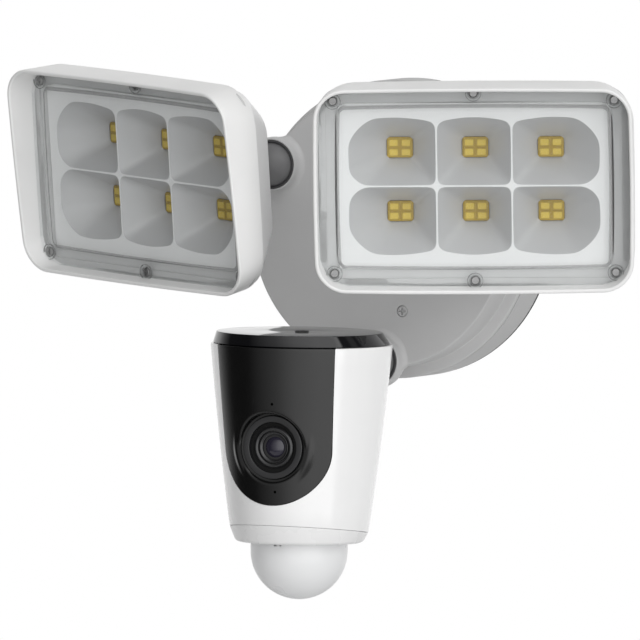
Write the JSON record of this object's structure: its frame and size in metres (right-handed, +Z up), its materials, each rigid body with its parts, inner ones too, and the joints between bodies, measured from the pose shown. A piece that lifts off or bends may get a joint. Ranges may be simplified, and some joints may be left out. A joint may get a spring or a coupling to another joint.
{
  "type": "floodlight security camera",
  "caption": "Wall-mounted security camera with hooded floodlights, a motion-sensor dome and ball joints on a round base.",
  "frame": {"origin": "centre of the wall plate's back face, on the wall plane", "axes": "+Z up along the wall, +Y into the wall, -Y out towards the front, +X to the right as the viewer faces the wall"},
  "size_m": [0.3423, 0.1913, 0.2639],
  "materials": {
    "zinc_steel": "zinc plated, satin",
    "green_screw": "green coated",
    "black_foam": "closed-cell foam, matte",
    "grey_shell": "fine moulded texture",
    "black_rubber": "matte",
    "grey_cover": "fine moulded texture, satin",
    "dark_seal": "matte",
    "zinc_screw": "zinc plated",
    "grey_screw": "painted grey",
    "dark_ring": "matte",
    "ivory_plastic": "matte",
    "green_board": "solder mask",
    "transformer_tape": "polyester tape",
    "capacitor_sleeve": "shrunk sleeve",
    "nylon_liner": "natural nylon",
    "dark_joint": "dark grey powder coat",
    "zinc_nut": "zinc plated",
    "white_housing": "white powder coat, satin",
    "white_hood": "white, satin moulded",
    "pale_seal": "matte",
    "clear_lens": "clear polycarbonate, glossy",
    "steel_screw": "stainless",
    "white_reflector": "white with metallised cups",
    "white_board": "white solder mask",
    "led_yellow": "phosphor chips on an ochre base",
    "cast_sink": "as extruded",
    "white_gloss": "white, glossy",
    "black_gloss": "black, high gloss",
    "black_panel": "black, satin",
    "white_bottom": "white, glossy",
    "black_button": "matte",
    "milky_dome": "milky polyethylene, satin",
    "sensor_can": "nickel",
    "black_ring": "black, satin with gloss steps",
    "black_barrel": "matte",
    "lens_glass": "coated glass",
    "speaker_grey": "matte",
    "copper_strip": "gold plated strip"
  },
  "bodies": {
    "base": {"wall_plate": "zinc_steel", "earth_screw": "green_screw", "wall_gasket": "black_foam", "base_housing": "grey_shell", "cable_grommet": "black_rubber", "front_cover": "grey_cover", "cover_gasket": "dark_seal", "cover_screws": "zinc_screw", "mounting_screws": "grey_screw", "socket_rings": "dark_ring", "terminal_block": "ivory_plastic", "driver_board": "green_board", "driver_transformer": "transformer_tape", "driver_capacitors": "capacitor_sleeve"},
    "left_seat": {"left_ball_liner": "nylon_liner"},
    "left_arm": {"left_ball_stud": "dark_joint", "left_neck_seal": "black_rubber", "left_neck_nut": "zinc_nut"},
    "left_lamp": {"left_rear_housing": "white_housing", "left_hood": "white_hood", "left_lens_gasket": "pale_seal", "left_lens": "clear_lens", "left_lens_screws": "steel_screw", "left_reflector": "white_reflector", "left_led_board": "white_board", "left_led_modules": "led_yellow", "left_heat_sink": "cast_sink"},
    "right_seat": {"right_ball_liner": "nylon_liner"},
    "right_arm": {"right_ball_stud": "dark_joint", "right_neck_seal": "black_rubber", "right_neck_nut": "zinc_nut"},
    "right_lamp": {"right_rear_housing": "white_housing", "right_hood": "white_hood", "right_lens_gasket": "pale_seal", "right_lens": "clear_lens", "right_lens_screws": "steel_screw", "right_reflector": "white_reflector", "right_led_board": "white_board", "right_led_modules": "led_yellow", "right_heat_sink": "cast_sink"},
    "camera_seat": {"camera_ball_liner": "nylon_liner"},
    "camera_arm": {"camera_ball_stud": "dark_joint", "camera_neck_seal": "black_rubber", "camera_neck_nut": "zinc_nut"},
    "camera_unit": {"camera_shell": "white_gloss", "camera_cap": "black_gloss", "camera_front_panel": "black_panel", "camera_bottom_cover": "white_bottom", "camera_screws": "steel_screw", "pir_dome": "milky_dome", "pir_board": "green_board", "pir_sensors": "sensor_can", "lens_ring": "black_ring", "lens_barrel": "black_barrel", "lens_glass": "lens_glass", "image_board": "green_board", "main_board": "green_board", "speaker": "speaker_grey", "antennas": "copper_strip"},
    "button": {"reset_button": "black_button"}
  },
  "joints": [
    {"name": "left_pan", "type": "hinge", "parent": "base", "child": "left_seat", "pos_m": [-0.05629, -0.0483, 0.0325], "axis": [0, 0, 1], "range_deg": [-6, 7]},
    {"name": "left_tilt", "type": "hinge", "parent": "left_seat", "child": "left_arm", "pos_m": [-0.05629, -0.0483, 0.0325], "axis": [-0.9219, 0.3875, 0], "range_deg": [-10, 28]},
    {"name": "left_roll", "type": "hinge", "parent": "left_arm", "child": "left_lamp", "pos_m": [-0.05629, -0.0483, 0.0325], "axis": [0.3841, 0.9138, 0.1323], "range_deg": [-20, 10]},
    {"name": "right_pan", "type": "hinge", "parent": "base", "child": "right_seat", "pos_m": [0.05629, -0.0483, 0.0325], "axis": [0, 0, 1], "range_deg": [-13, 7]},
    {"name": "right_tilt", "type": "hinge", "parent": "right_seat", "child": "right_arm", "pos_m": [0.05629, -0.0483, 0.0325], "axis": [-0.9298, -0.3681, 0], "range_deg": [-10, 28]},
    {"name": "right_roll", "type": "hinge", "parent": "right_arm", "child": "right_lamp", "pos_m": [0.05629, -0.0483, 0.0325], "axis": [0.3647, -0.9212, -0.1357], "range_deg": [-20, 10]},
    {"name": "camera_pan", "type": "hinge", "parent": "base", "child": "camera_seat", "pos_m": [0, -0.0483, -0.065], "axis": [0, 0, 1], "range_deg": [-25, 25]},
    {"name": "camera_tilt", "type": "hinge", "parent": "camera_seat", "child": "camera_arm", "pos_m": [0, -0.0483, -0.065], "axis": [-0.9999, -0.0157, 0], "range_deg": [-25, 5]},
    {"name": "camera_roll", "type": "hinge", "parent": "camera_arm", "child": "camera_unit", "pos_m": [0, -0.0483, -0.065], "axis": [0.0157, -0.9999, 0], "range_deg": [-10, 10]},
    {"name": "reset_press", "type": "slide", "parent": "camera_unit", "child": "button", "axis": [0, 0, -1], "range_m": [0, 0.0008], "stiffness_N_per_m": 1200, "springref_m": -0.0003}
  ]
}
